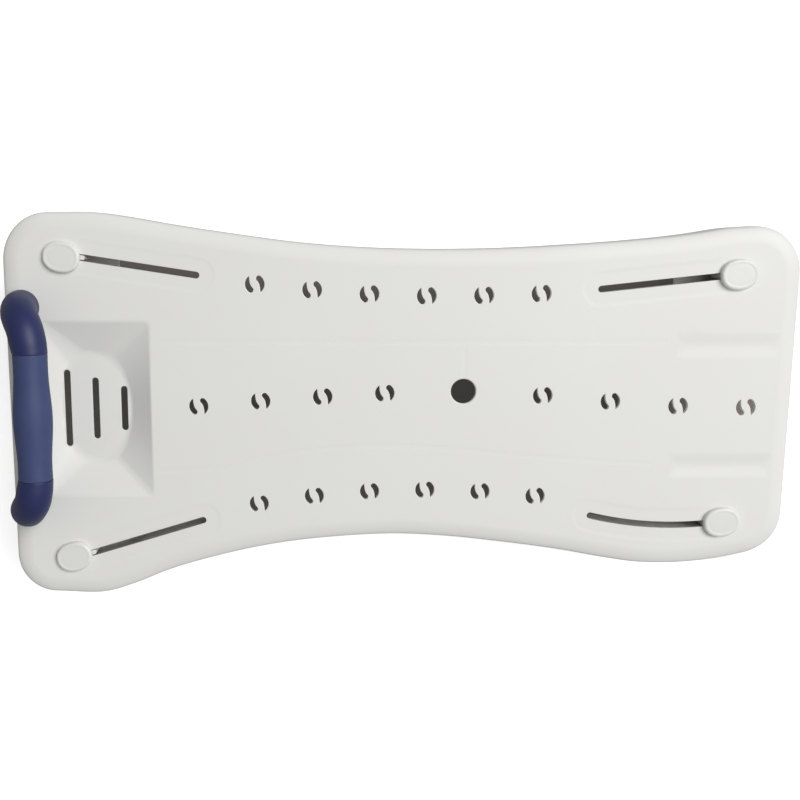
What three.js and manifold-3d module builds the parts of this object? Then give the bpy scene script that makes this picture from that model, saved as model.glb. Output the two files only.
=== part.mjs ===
import * as THREE from 'three';
import { mergeVertices } from 'three/addons/utils/BufferGeometryUtils.js';
import Module from 'manifold-3d';

const wasm = await Module();
wasm.setup();

// Every length is in millimetres. X runs along the board from the handle to the far end,
// Y across it and Z up. The top surface of the seat is level zero until the last step.

// Running gaps, cutters' overrun and the weld of matching corners
const gap = 0.3;
const overcut = 1;
const weld = 0.0001;

// Board outline: each place by its share of the length or its inset from the nearer end,
// and by its reach from the middle line
const boardLength = 700;
const halfLength = boardLength / 2;
const upperWaist = { share: 0.5486, reach: 133.4 };
const lowerWaist = { share: 0.4971, reach: 126 };
const upperHandleShoulder = { inset: 82, reach: 165.3 };
const upperFarShoulder = { inset: 41, reach: 153.3 };
const lowerHandleShoulder = { inset: 85, reach: 180.9 };
const lowerFarBulge = { inset: 110, reach: 153.8 };
const lowerFarTurn = { inset: 62, reach: 149.9 };
const lowerFarShoulder = { inset: 34, reach: 144.2 };
const upperHandleCorner = { along: 41, across: 43.3 };
const upperFarCorner = { along: 41, across: 42.3 };
const lowerHandleCorner = { along: 37, across: 37 };
const lowerFarCorner = { along: 34, across: 40.2 };
const cornerBulgeShare = 0.552;
const stationShares = [0.2, 0.4, 0.6, 0.8, 0.9];
const upperHandleRiseShares = [0.04, 0.175, 0.42, 0.708, 0.875];
const upperFarRiseShares = [0.045, 0.186, 0.38, 0.673, 0.9];
const lowerHandleRiseShares = [0.047, 0.158, 0.36, 0.648, 0.847];
const lowerFarRiseShares = [0.086, 0.277, 0.514, 0.827, 0.957];
const longEdgeSteps = 26;
const cornerSteps = 6;

// Moulded shell
const skin = 3.5;
const edgeRadius = 12;
const edgeSteps = 4;
const innerEdgeSteps = 2;
const skirtDepth = 30;

// Ribs below the seat
const ribThickness = 2.5;
const ribDepth = 24;
const upperRibReach = 51.8;
const lowerRibPlaceShares = [0.193, 0.2764, 0.3407, 0.5009, 0.5807, 0.6807, 0.8224, 0.9929];
const lowerRibReaches = [64.8, 61.1, 50.1, 42, 45.5, 51.9, 58.5, 57.5];
const lowerRibSteps = 12;
const crossRibShares = [0.1257, 0.2071, 0.2829, 0.3557, 0.4314, 0.5057, 0.5807, 0.64, 0.7143, 0.81, 0.8957];

// Shallow moulded flutes at the far end
const fluteOuterInset = 15;
const fluteInnerInset = 103;
const fluteHalfWidth = 8;
const fluteDepth = 0.5;
const lowerFluteReach = 57.5;
const fluteSegments = 5;

// Drain holes in comma pairs
const commaPairRadius = 8.5;
const commaTip = { x: -4.9, y: 7.5 };
const commaHead = { x: -3.7, y: -4.9 };
const commaHeadRadius = 2.5;
const commaInnerBend = { x: -5, y: -0.6 };
const commaTipAngle = THREE.MathUtils.degToRad(126);
const commaTailAngle = THREE.MathUtils.degToRad(236);
const commaHeadTurn = THREE.MathUtils.degToRad(162);
const commaArcSteps = 5;
const commaHeadSteps = 4;
const commaInnerSteps = 3;
const upperRowReaches = [102.4, 97.5, 93.9, 92.2, 92.6, 94.2];
const lowerRowReaches = [95.3, 88.1, 83.8, 82.4, 83.9, 88.1];
const middleHandleReaches = [-5.9, -1.2, 2.8, 6];
const middleFarReaches = [3.9, -1.4, -5.6, -6.7];
const drainRows = [
  { startShare: 0.3167, pitchShare: 0.07157, side: 1, reaches: upperRowReaches },
  { startShare: 0.3197, pitchShare: 0.07129, side: -1, reaches: lowerRowReaches },
  { startShare: 0.2439, pitchShare: 0.07886, side: 1, reaches: middleHandleReaches },
  { startShare: 0.681, pitchShare: 0.08629, side: 1, reaches: middleFarReaches },
];
const roundHole = { share: 0.5801, reach: 7.7, radius: 11, collar: 3 };
const roundHoleSegments = 24;

// Soap dish: a rectangle at the seat and an oval floor round its middle slot
const dishDepth = 14;
const dishRim = { inset: 32, length: 97.8, halfWidth: 77.6, corner: 5 };
const dishFloor = { inset: 77.3, halfLength: 31.6, halfWidth: 49.7 };
const dishMiddle = 6.4;
const dishFloorDrop = 2.4;
const dishFoldAngle = THREE.MathUtils.degToRad(62);
const dishCornerSteps = 2;
const dishEndSteps = 3;
const dishSideSteps = 8;
const dishSlotWidth = 5.6;
const dishSlotPitch = 24.9;
const dishSlotLengths = [70, 56, 40.5];
const slotEndSegments = 8;

// Stop slots: the bolt's place at rest and the end of its slot, by inset from the nearer end
// of the board and by reach from the middle line. Only the lower far slot is bowed.
const upperHandleBolt = { inset: 54, reach: 128 };
const upperHandleSlotEnd = { inset: 173.5, reach: 109.8 };
const lowerHandleBolt = { inset: 55, reach: 146.6 };
const lowerHandleSlotEnd = { inset: 175.5, reach: 110 };
const upperFarBolt = { inset: 56.8, reach: 110.9 };
const upperFarSlotEnd = { inset: 178.2, reach: 97.8 };
const lowerFarBolt = { inset: 57.5, reach: 111.9 };
const lowerFarSlotEnd = { inset: 178.9, reach: 105.8 };
const stopPlaces = [
  { name: 'upper_handle', end: -1, side: 1, bolt: upperHandleBolt, slotEnd: upperHandleSlotEnd },
  { name: 'lower_handle', end: -1, side: -1, bolt: lowerHandleBolt, slotEnd: lowerHandleSlotEnd },
  { name: 'upper_far', end: 1, side: 1, bolt: upperFarBolt, slotEnd: upperFarSlotEnd },
  { name: 'lower_far', end: 1, side: -1, bolt: lowerFarBolt, slotEnd: lowerFarSlotEnd },
];
const bowedStop = 'lower_far';
const slotBow = 5.95;
const slotWidth = 5.5;
const slotWall = 3.5;
const slotOuterReach = 14.8;
const guideProud = 1;
const guideDepth = skirtDepth + guideProud;
const trackHalfWidth = 15;
const trackDepth = 0.5;
const trackOuterReach = 4;
const trackInnerSetback = 2;
const bowedSlotSteps = 10;
const trackEndSegments = 10;

// Stop head, bolt and washer
const headLength = 30;
const headWidth = 27;
const headHeight = 5;
const headBevel = 1.4;
const headBevelSteps = 2;
const headSegments = 12;
const keyWidth = 4.3;
const keyOuterReach = 12.6;
const keyInnerReach = 15.8;
const keyDepth = 22;
const boltRadius = 2.5;
const boltSocketRise = 2.5;
const boltTail = 6;
const boltSegments = 12;
const boreRadius = boltRadius + gap;
const washerRadius = 7.5;
const washerThickness = 1.5;
const washerSegments = 18;

// Stop bracket
const bracketWidth = 40;
const bracketOuter = 22;
const bracketInner = 44;
const bracketPlate = 5;
const bracketWall = 4.5;
const bracketFlange = 3;
const bracketFoot = 4;
const bracketDrop = 82;
const flangeTopReach = 26;
const flangeMidDepth = 18;
const flangeMidDrop = 40;
const footDepth = 14;
const bracketCorner = 6;
const bracketCornerSegments = 3;
const plugHoleRadius = 3.3;

// Rubber buffer on the bracket
const bufferWidth = 32;
const bufferLower = 10;
const bufferHeight = 56;
const bufferBase = 2.4;
const bufferRidge = 2;
const bufferRidges = 6;
const ridgeFootShares = [0.16, 0.84];
const ridgeCrestShares = [0.3, 0.7];
const plugRadius = 3;
const plugShares = [0.22, 0.78];
const plugSegments = 10;

// Hand wheel
const wheelRadius = 13.6;
const wheelHeight = 13;
const wheelLobes = 6;
const wheelLobeDepth = 1.4;
const wheelPointsPerLobe = 4;
const wheelBevel = 1.2;
const wheelBossRadius = 7.5;
const wheelBossHeight = 3;

// Grab handle: its feet by inset from the handle end, the rest leaning inward from them
const handleMiddle = 7.1;
const handleFootInset = 18.3;
const footClearance = 11.6;
const footHalfSpacing = dishRim.halfWidth + footClearance;
const footSink = 11;
const footStraight = 8;
const gripLean = 17.4;
const gripHeight = 45;
const gripHalfLength = 54;
const handleRadius = 15.3;
const handleCoreRadius = 11.5;
const elbowOutward = { lean: 5.9, share: 0.945, height: 30 };
const elbowInner = { lean: 13.4, share: 0.82, height: 42 };
const elbowSteps = 10;
const handleSegments = 20;
const sleeveRadius = 14.2;
const sleeveSwell = 2.1;
const swellShare = 0.75;
const sleeveStationShares = [0, 0.17, 0.34, 0.5, 0.66, 0.83];
const handleSeatRadius = 15;
const handleSeatDepth = 14;
const handleSeatSegments = 20;

// Handle screws
const screwRadius = 2.4;
const screwBite = 16;
const screwHeadRadius = 5;
const screwHeadHeight = 3.2;
const screwHeadRoom = 1;
const screwSegments = 12;
const screwHoleRadius = screwRadius + gap;

// Rim pads
const rimPadWidth = 16;
const rimPadThickness = 3;
const rimPadInset = 13;
const rimPadLength = 60;
const handleUpperPadReach = 39;
const handleLowerPadReach = 56;
const farUpperPadReach = 46;
const farLowerPadReach = 50;
const rimPadPlaces = [
  { name: 'rim_pad_handle_upper', end: -1, side: 1, reach: handleUpperPadReach },
  { name: 'rim_pad_handle_lower', end: -1, side: -1, reach: handleLowerPadReach },
  { name: 'rim_pad_far_upper', end: 1, side: 1, reach: farUpperPadReach },
  { name: 'rim_pad_far_lower', end: 1, side: -1, reach: farLowerPadReach },
];
const seatRibSpacing = 6;
const rimPlugRadius = 2.6;
const rimPlugHeight = 12;
const rimPlugSpacing = 36;
const rimBossWall = 2.2;
const rimPadCorner = 4;
const rimPadCornerSteps = 3;
const rimPadBevel = 0.8;

// Finishes: colours read from the photograph, with the gloss of each stuff
const finishes = {
  board: { color: 0xe4e4e1, roughness: 0.45, metalness: 0 },
  head: { color: 0xe9e9e2, roughness: 0.4, metalness: 0 },
  handle: { color: 0x2a2d5c, roughness: 0.35, metalness: 0 },
  grip: { color: 0x47527a, roughness: 0.55, metalness: 0 },
  rubber: { color: 0x4a4c50, roughness: 0.8, metalness: 0 },
  steel: { color: 0xb8babc, roughness: 0.35, metalness: 1 },
  wheel: { color: 0x33396b, roughness: 0.4, metalness: 0 },
};

// Turns a three.js geometry into a closed solid with its faces outward.
function solid(geometry) {
  const bare = geometry.clone();
  bare.deleteAttribute('normal');
  bare.deleteAttribute('uv');
  const merged = mergeVertices(bare, weld);
  const position = merged.attributes.position;
  const index = merged.index.array;
  const kept = [];
  let volume = 0;
  const a = new THREE.Vector3();
  const b = new THREE.Vector3();
  const c = new THREE.Vector3();
  for (let i = 0; i < index.length; i += 3) {
    const [p, q, r] = [index[i], index[i + 1], index[i + 2]];
    if (p === q || q === r || r === p) continue;
    kept.push(p, q, r);
    a.fromBufferAttribute(position, p);
    b.fromBufferAttribute(position, q);
    c.fromBufferAttribute(position, r);
    volume += a.dot(b.cross(c));
  }
  if (volume < 0) {
    for (let i = 0; i < kept.length; i += 3) {
      [kept[i + 1], kept[i + 2]] = [kept[i + 2], kept[i + 1]];
    }
  }
  return new wasm.Manifold(new wasm.Mesh({
    numProp: 3,
    vertProperties: Float32Array.from(position.array),
    triVerts: Uint32Array.from(kept),
  }));
}

function geometryOf(manifold) {
  const mesh = manifold.getMesh();
  const geometry = new THREE.BufferGeometry();
  geometry.setAttribute('position', new THREE.BufferAttribute(new Float32Array(mesh.vertProperties), 3));
  geometry.setIndex(new THREE.BufferAttribute(new Uint32Array(mesh.triVerts), 1));
  return geometry;
}

function union(manifolds) {
  return manifolds.reduce((whole, next) => whole.add(next));
}

// An upright prism between two levels.
function prism(outline, bottom, top) {
  const geometry = new THREE.ExtrudeGeometry(new THREE.Shape(outline), {
    depth: top - bottom,
    bevelEnabled: false,
  });
  geometry.translate(0, 0, bottom);
  return solid(geometry);
}

// A prism whose rims are rounded; its sides are drawn in by inset.
function roundedPrism(outline, bottom, top, rim, steps, inset) {
  const geometry = new THREE.ExtrudeGeometry(new THREE.Shape(outline), {
    depth: top - bottom - 2 * rim,
    bevelThickness: rim,
    bevelSize: rim,
    bevelOffset: -rim - inset,
    bevelSegments: steps,
  });
  geometry.translate(0, 0, bottom + rim);
  return solid(geometry);
}

function box(sizeX, sizeY, sizeZ, x, y, z) {
  const geometry = new THREE.BoxGeometry(sizeX, sizeY, sizeZ);
  geometry.translate(x, y, z);
  return solid(geometry);
}

function cylinder(radius, bottom, top, x, y, segments) {
  const geometry = new THREE.CylinderGeometry(radius, radius, top - bottom, segments);
  geometry.rotateX(Math.PI / 2);
  geometry.translate(x, y, (top + bottom) / 2);
  return solid(geometry);
}

// A rod lying along X.
function crossRod(radius, startX, endX, y, z, segments) {
  const geometry = new THREE.CylinderGeometry(radius, radius, endX - startX, segments);
  geometry.rotateZ(Math.PI / 2);
  geometry.translate((startX + endX) / 2, y, z);
  return solid(geometry);
}

function circlePoints(x, y, radiusX, radiusY, from, to, steps) {
  const arc = new THREE.EllipseCurve(x, y, radiusX, radiusY, from, to, false);
  return arc.getPoints(steps);
}

function roundedRectangle(left, right, lower, upper, radius, steps) {
  const quarter = Math.PI / 2;
  return [
    ...circlePoints(right - radius, upper - radius, radius, radius, 0, quarter, steps),
    ...circlePoints(left + radius, upper - radius, radius, radius, quarter, 2 * quarter, steps),
    ...circlePoints(left + radius, lower + radius, radius, radius, 2 * quarter, 3 * quarter, steps),
    ...circlePoints(right - radius, lower + radius, radius, radius, 3 * quarter, 4 * quarter, steps),
  ];
}

// A place at an inset from one end of the board: end is -1 at the handle and 1 at the far end.
function atInset(end, inset) {
  return end * (halfLength - inset);
}

function atShare(share) {
  return boardLength * share - halfLength;
}

// Stations from a waist to a shoulder, as shares of the run and of the rise.
function edgeStations(waist, shoulder, riseShares) {
  return stationShares.map((share, i) => new THREE.Vector2(
    waist.x + (shoulder.x - waist.x) * share,
    waist.y + (shoulder.y - waist.y) * riseShares[i],
  ));
}

function cornerPoints(start, startPull, endPull, end) {
  const curve = new THREE.CubicBezierCurve(start, startPull, endPull, end);
  return curve.getPoints(cornerSteps).slice(1, -1);
}

// The plan of the board, anticlockwise from the lower corner at the handle.
function boardOutline() {
  const vector = (x, y) => new THREE.Vector2(x, y);
  const shoulder = (end, side, place) => vector(atInset(end, place.inset), side * place.reach);
  const lowerMiddle = vector(atShare(lowerWaist.share), -lowerWaist.reach);
  const upperMiddle = vector(atShare(upperWaist.share), upperWaist.reach);
  const lowerHandle = shoulder(-1, -1, lowerHandleShoulder);
  const upperHandle = shoulder(-1, 1, upperHandleShoulder);
  const lowerFar = shoulder(1, -1, lowerFarShoulder);
  const upperFar = shoulder(1, 1, upperFarShoulder);
  const bulge = shoulder(1, -1, lowerFarBulge);
  const turn = shoulder(1, -1, lowerFarTurn);
  const lowerHandleStart = vector(atInset(-1, lowerHandleCorner.along), lowerHandle.y);
  const upperHandleStart = vector(atInset(-1, upperHandleCorner.along), upperHandle.y);
  const lowerEdge = new THREE.SplineCurve([
    lowerHandleStart,
    lowerHandle,
    ...edgeStations(lowerMiddle, lowerHandle, lowerHandleRiseShares).reverse(),
    lowerMiddle,
    ...edgeStations(lowerMiddle, bulge, lowerFarRiseShares),
    bulge,
    turn,
    lowerFar,
  ]).getSpacedPoints(longEdgeSteps);
  const upperEdge = new THREE.SplineCurve([
    upperFar,
    ...edgeStations(upperMiddle, upperFar, upperFarRiseShares).reverse(),
    upperMiddle,
    ...edgeStations(upperMiddle, upperHandle, upperHandleRiseShares),
    upperHandle,
    upperHandleStart,
  ]).getSpacedPoints(longEdgeSteps);
  const lowerFarEnd = vector(halfLength, lowerFar.y + lowerFarCorner.across);
  const upperFarEnd = vector(halfLength, upperFar.y - upperFarCorner.across);
  const upperHandleEnd = vector(-halfLength, upperHandle.y - upperHandleCorner.across);
  const lowerHandleEnd = vector(-halfLength, lowerHandle.y + lowerHandleCorner.across);
  const corner = (start, end, size, alongFirst, lean) => {
    const turnX = Math.sign(end.x - start.x) * size.along * cornerBulgeShare;
    const turnY = Math.sign(end.y - start.y) * size.across * cornerBulgeShare;
    const first = alongFirst ? vector(start.x + turnX, start.y + lean) : vector(start.x, start.y + turnY);
    const second = alongFirst ? vector(end.x, end.y - turnY) : vector(end.x - turnX, end.y);
    return cornerPoints(start, first, second, end);
  };
  const lean = ((lowerFar.y - turn.y) * lowerFarCorner.along * cornerBulgeShare) / (lowerFar.x - turn.x);
  return [
    ...lowerEdge,
    ...corner(lowerFar, lowerFarEnd, lowerFarCorner, true, lean),
    lowerFarEnd,
    upperFarEnd,
    ...corner(upperFarEnd, upperFar, upperFarCorner, false, 0),
    ...upperEdge,
    ...corner(upperHandleStart, upperHandleEnd, upperHandleCorner, true, 0),
    upperHandleEnd,
    lowerHandleEnd,
    ...corner(lowerHandleEnd, lowerHandleStart, lowerHandleCorner, false, 0),
  ];
}

// The line that a stop's bolt follows, by distance from its place at rest.
function slotPath(place) {
  const { bolt, slotEnd } = place;
  const start = new THREE.Vector2(atInset(place.end, bolt.inset), place.side * bolt.reach);
  const end = new THREE.Vector2(atInset(place.end, slotEnd.inset), place.side * slotEnd.reach);
  const chord = end.clone().sub(start);
  const length = chord.length();
  const along = chord.clone().normalize();
  if (place.name !== bowedStop) {
    return {
      length,
      at: (s) => ({ point: start.clone().addScaledVector(along, s), along }),
    };
  }
  const radius = (length * length) / (8 * slotBow) + slotBow / 2;
  const towards = new THREE.Vector2(along.y, -along.x);
  const centre = start.clone().add(end).multiplyScalar(1 / 2).addScaledVector(towards, radius - slotBow);
  const startAngle = Math.atan2(start.y - centre.y, start.x - centre.x);
  return {
    length: 2 * radius * Math.asin(length / (2 * radius)),
    centre,
    radius,
    at: (s) => {
      const angle = startAngle - s / radius;
      const outward = new THREE.Vector2(Math.cos(angle), Math.sin(angle));
      const point = centre.clone().addScaledVector(outward, radius);
      return { point, along: new THREE.Vector2(outward.y, -outward.x) };
    },
  };
}

// A band of even width along a slot's path, with round ends.
function bandOutline(path, from, to, halfWidth, steps, endSegments) {
  const side = (sign) => {
    const points = [];
    for (let i = 0; i <= steps; i += 1) {
      const { point, along } = path.at(from + ((to - from) * i) / steps);
      const aside = new THREE.Vector2(-along.y, along.x).multiplyScalar(sign * halfWidth);
      points.push(point.clone().add(aside));
    }
    return points;
  };
  const endCap = (s, turn) => {
    const { point, along } = path.at(s);
    const start = Math.atan2(along.y, along.x) + turn;
    const end = start + Math.PI;
    return circlePoints(point.x, point.y, halfWidth, halfWidth, start, end, endSegments).slice(1, -1);
  };
  return [
    ...side(-1),
    ...endCap(to, -Math.PI / 2),
    ...side(1).reverse(),
    ...endCap(from, Math.PI / 2),
  ];
}

// A closed solid between two convex outlines with the same number of points.
function loft(lower, upper, bottom, top) {
  const count = lower.length;
  const middle = (outline) => {
    const sum = outline.reduce((total, point) => total.add(point), new THREE.Vector2());
    return sum.divideScalar(count);
  };
  const geometry = new THREE.CylinderGeometry(halfLength, halfLength, top - bottom, count);
  const position = geometry.attributes.position;
  for (let i = 0; i < position.count; i += 1) {
    const x = position.getX(i);
    const z = position.getZ(i);
    const high = position.getY(i) > 0;
    const outline = high ? upper : lower;
    const turn = Math.atan2(x, z) / (2 * Math.PI) + 1;
    const step = Math.round(turn * count) % count;
    const place = Math.hypot(x, z) < halfLength / 2 ? middle(outline) : outline[step];
    position.setXYZ(i, place.x, place.y, high ? top : bottom);
  }
  return solid(geometry);
}

// The dish narrows from a rectangle at the seat to an oval floor, with a fold from each corner.
function dishSolid(extra, top, bottom) {
  const rim = [];
  const floor = [];
  const floorX = atInset(-1, dishFloor.inset);
  const floorY = -dishMiddle - dishFloorDrop;
  const floorPoint = (angle) => new THREE.Vector2(
    floorX + (dishFloor.halfLength + extra) * Math.cos(angle),
    floorY + (dishFloor.halfWidth + extra) * Math.sin(angle),
  );
  const left = atInset(-1, dishRim.inset) + dishRim.corner;
  const right = atInset(-1, dishRim.inset) + dishRim.length - dishRim.corner;
  const high = dishRim.halfWidth - dishMiddle - dishRim.corner;
  const low = dishRim.corner - dishRim.halfWidth - dishMiddle;
  const corners = [
    { x: right, y: high, fold: dishFoldAngle, steps: dishEndSteps },
    { x: left, y: high, fold: Math.PI - dishFoldAngle, steps: dishSideSteps },
    { x: left, y: low, fold: Math.PI + dishFoldAngle, steps: dishEndSteps },
    { x: right, y: low, fold: 2 * Math.PI - dishFoldAngle, steps: dishSideSteps },
  ];
  const radius = dishRim.corner + extra;
  const arcs = corners.map(({ x, y }, i) => circlePoints(
    x, y, radius, radius, (i * Math.PI) / 2, ((i + 1) * Math.PI) / 2, dishCornerSteps,
  ));
  corners.forEach(({ fold, steps }, i) => {
    const last = i === corners.length - 1;
    const nextFold = last ? 2 * Math.PI + corners[0].fold : corners[i + 1].fold;
    const nextArc = arcs[last ? 0 : i + 1];
    for (const point of arcs[i]) {
      rim.push(point);
      floor.push(floorPoint(fold));
    }
    for (let step = 1; step < steps; step += 1) {
      const share = step / steps;
      rim.push(arcs[i].at(-1).clone().lerp(nextArc[0], share));
      floor.push(floorPoint(fold + (nextFold - fold) * share));
    }
  });
  const reach = (top - bottom) / -bottom;
  const upper = floor.map((point, i) => point.clone().lerp(rim[i], reach));
  return loft(floor, upper, bottom, top);
}

// One comma of a drain hole pair; the other is the same turned half round.
function commaOutline(centreX, centreY, turned) {
  const inner = new THREE.QuadraticBezierCurve(
    new THREE.Vector2(
      commaHead.x + commaHeadRadius * Math.cos(commaTailAngle + commaHeadTurn),
      commaHead.y + commaHeadRadius * Math.sin(commaTailAngle + commaHeadTurn),
    ),
    new THREE.Vector2(commaInnerBend.x, commaInnerBend.y),
    new THREE.Vector2(commaTip.x, commaTip.y),
  );
  const points = [
    ...circlePoints(0, 0, commaPairRadius, commaPairRadius, commaTipAngle, commaTailAngle, commaArcSteps),
    ...circlePoints(commaHead.x, commaHead.y, commaHeadRadius, commaHeadRadius,
      commaTailAngle, commaTailAngle + commaHeadTurn, commaHeadSteps).slice(1),
    ...inner.getPoints(commaInnerSteps).slice(1),
  ];
  const sign = turned ? -1 : 1;
  return points.map((p) => new THREE.Vector2(centreX + sign * p.x, centreY + sign * p.y));
}

function drainHoles() {
  const cuts = [];
  for (const row of drainRows) {
    row.reaches.forEach((reach, i) => {
      const x = atShare(row.startShare + i * row.pitchShare);
      for (const turned of [false, true]) {
        cuts.push(prism(commaOutline(x, row.side * reach, turned), -skin - overcut, overcut));
      }
    });
  }
  const holeX = atShare(roundHole.share);
  cuts.push(cylinder(roundHole.radius, -skirtDepth, overcut, holeX, roundHole.reach, roundHoleSegments));
  dishSlotLengths.forEach((length, i) => {
    const x = atInset(-1, dishFloor.inset) + (i - 1) * dishSlotPitch;
    const y = -dishMiddle - dishFloorDrop;
    const half = dishSlotWidth / 2;
    const outline = roundedRectangle(
      x - half, x + half, y - length / 2, y + length / 2, half, slotEndSegments / 2,
    );
    cuts.push(prism(outline, -dishDepth - skin - overcut, overcut));
  });
  return union(cuts);
}

// Ribs, slot guides, the dish's tray and the bosses, all inside the skirt.
function undersideWork(outline) {
  const middleZ = -(ribDepth + skin / 2) / 2;
  const height = ribDepth - skin / 2;
  const across = 2 * lowerHandleShoulder.reach;
  const ribs = [box(boardLength, ribThickness, height, 0, upperRibReach, middleZ)];
  const spine = new THREE.SplineCurve(lowerRibReaches.map(
    (reach, i) => new THREE.Vector2(atShare(lowerRibPlaceShares[i]), -reach),
  )).getSpacedPoints(lowerRibSteps);
  const half = ribThickness / 2;
  ribs.push(prism([
    ...spine.map((p) => new THREE.Vector2(p.x, p.y - half)),
    ...spine.map((p) => new THREE.Vector2(p.x, p.y + half)).reverse(),
  ], -ribDepth, -skin / 2));
  for (const share of crossRibShares) {
    ribs.push(box(ribThickness, across, height, atShare(share), 0, middleZ));
  }
  const collar = roundHole.radius + roundHole.collar;
  const holeX = atShare(roundHole.share);
  ribs.push(cylinder(collar, -ribDepth, -skin / 2, holeX, roundHole.reach, roundHoleSegments));
  const dishTray = dishSolid(skin, 0, -dishDepth - skin);
  const underDish = box(
    dishRim.length,
    2 * dishRim.halfWidth,
    skirtDepth,
    atInset(-1, dishRim.inset + dishRim.length / 2),
    -dishMiddle,
    -skirtDepth / 2 - skin,
  );
  let work = union(ribs).subtract(underDish).add(dishTray);
  for (const place of stopPlaces) {
    const path = slotPath(place);
    const steps = place.name === bowedStop ? bowedSlotSteps : 1;
    const start = slotWidth / 2 - slotOuterReach;
    const band = bandOutline(path, start, path.length, slotWidth / 2 + slotWall, steps, slotEndSegments);
    work = work.add(prism(band, -guideDepth, -skin / 2));
  }
  for (const pad of rimPadPlaces) {
    const x = atInset(pad.end, rimPadInset);
    const y = pad.side * pad.reach;
    for (const shift of [-seatRibSpacing, 0, seatRibSpacing]) {
      work = work.add(box(ribThickness, rimPadLength, skirtDepth - skin / 2,
        x + shift, y, -(skirtDepth + skin / 2) / 2));
    }
    for (const shift of [-rimPlugSpacing / 2, rimPlugSpacing / 2]) {
      const radius = rimPlugRadius + gap + rimBossWall;
      work = work.add(cylinder(radius, -skirtDepth, -skin / 2, x, y + shift, plugSegments));
    }
  }
  const inside = roundedPrism(
    outline,
    -skirtDepth - 2 * edgeRadius,
    -skin / 2,
    edgeRadius - skin / 2,
    innerEdgeSteps,
    skin / 2,
  );
  return work.intersect(inside);
}

function handleFootPlaces() {
  return [['lower', -1], ['upper', 1]].map(([name, sign]) => ({
    name,
    sign,
    x: atInset(-1, handleFootInset),
    y: sign * footHalfSpacing - handleMiddle,
  }));
}

function boardSolid() {
  const outline = boardOutline();
  const deep = -skirtDepth - 2 * edgeRadius;
  const outer = roundedPrism(outline, deep, 0, edgeRadius, edgeSteps, 0);
  const hollow = roundedPrism(outline, deep, -skin, edgeRadius - skin, innerEdgeSteps, skin);
  const below = box(
    2 * boardLength,
    boardLength,
    skirtDepth,
    0,
    0,
    -skirtDepth - skirtDepth / 2,
  );
  let body = outer.subtract(below).subtract(hollow).add(undersideWork(outline));
  for (const foot of handleFootPlaces()) {
    const boss = cylinder(handleSeatRadius, -handleSeatDepth, 0, foot.x, foot.y, handleSeatSegments);
    body = body.add(boss.intersect(outer));
  }
  body = body.subtract(dishSolid(0, overcut, -dishDepth)).subtract(drainHoles());
  for (const place of stopPlaces) {
    const path = slotPath(place);
    const steps = place.name === bowedStop ? bowedSlotSteps : 1;
    const slot = bandOutline(path, slotWidth / 2 - slotOuterReach, path.length - slotWidth / 2,
      slotWidth / 2, steps, slotEndSegments);
    const track = bandOutline(path, -trackOuterReach, path.length - trackInnerSetback,
      trackHalfWidth, steps, trackEndSegments);
    body = body.subtract(prism(track, -trackDepth, overcut));
    body = body.subtract(prism(slot, -guideDepth - overcut, overcut));
  }
  for (const foot of handleFootPlaces()) {
    body = body
      .subtract(cylinder(screwHoleRadius, -skirtDepth, overcut, foot.x, foot.y, screwSegments))
      .subtract(cylinder(screwHeadRadius + screwHeadRoom, -skirtDepth - overcut, -handleSeatDepth,
        foot.x, foot.y, screwSegments));
  }
  for (const pad of rimPadPlaces) {
    for (const shift of [-rimPlugSpacing / 2, rimPlugSpacing / 2]) {
      body = body.subtract(cylinder(
        rimPlugRadius + gap,
        -skirtDepth - overcut,
        -skirtDepth + rimPlugHeight,
        atInset(pad.end, rimPadInset),
        pad.side * pad.reach + shift,
        plugSegments,
      ));
    }
  }
  const fluteRadius = (fluteHalfWidth * fluteHalfWidth + fluteDepth * fluteDepth) / (2 * fluteDepth);
  const fluteAngle = Math.asin(fluteHalfWidth / fluteRadius);
  for (const y of [upperRibReach, -lowerFluteReach]) {
    const arc = circlePoints(0, fluteRadius - fluteDepth, fluteRadius, fluteRadius,
      -Math.PI / 2 - fluteAngle, -Math.PI / 2 + fluteAngle, fluteSegments);
    const outlineOfFlute = [
      ...arc,
      new THREE.Vector2(fluteHalfWidth, overcut),
      new THREE.Vector2(-fluteHalfWidth, overcut),
    ];
    const geometry = new THREE.ExtrudeGeometry(new THREE.Shape(outlineOfFlute), {
      depth: fluteInnerInset - fluteOuterInset,
      bevelEnabled: false,
    });
    geometry.rotateX(Math.PI / 2);
    geometry.rotateZ(Math.PI / 2);
    geometry.translate(atInset(1, fluteInnerInset), y, 0);
    body = body.subtract(solid(geometry));
  }
  return body;
}

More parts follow.
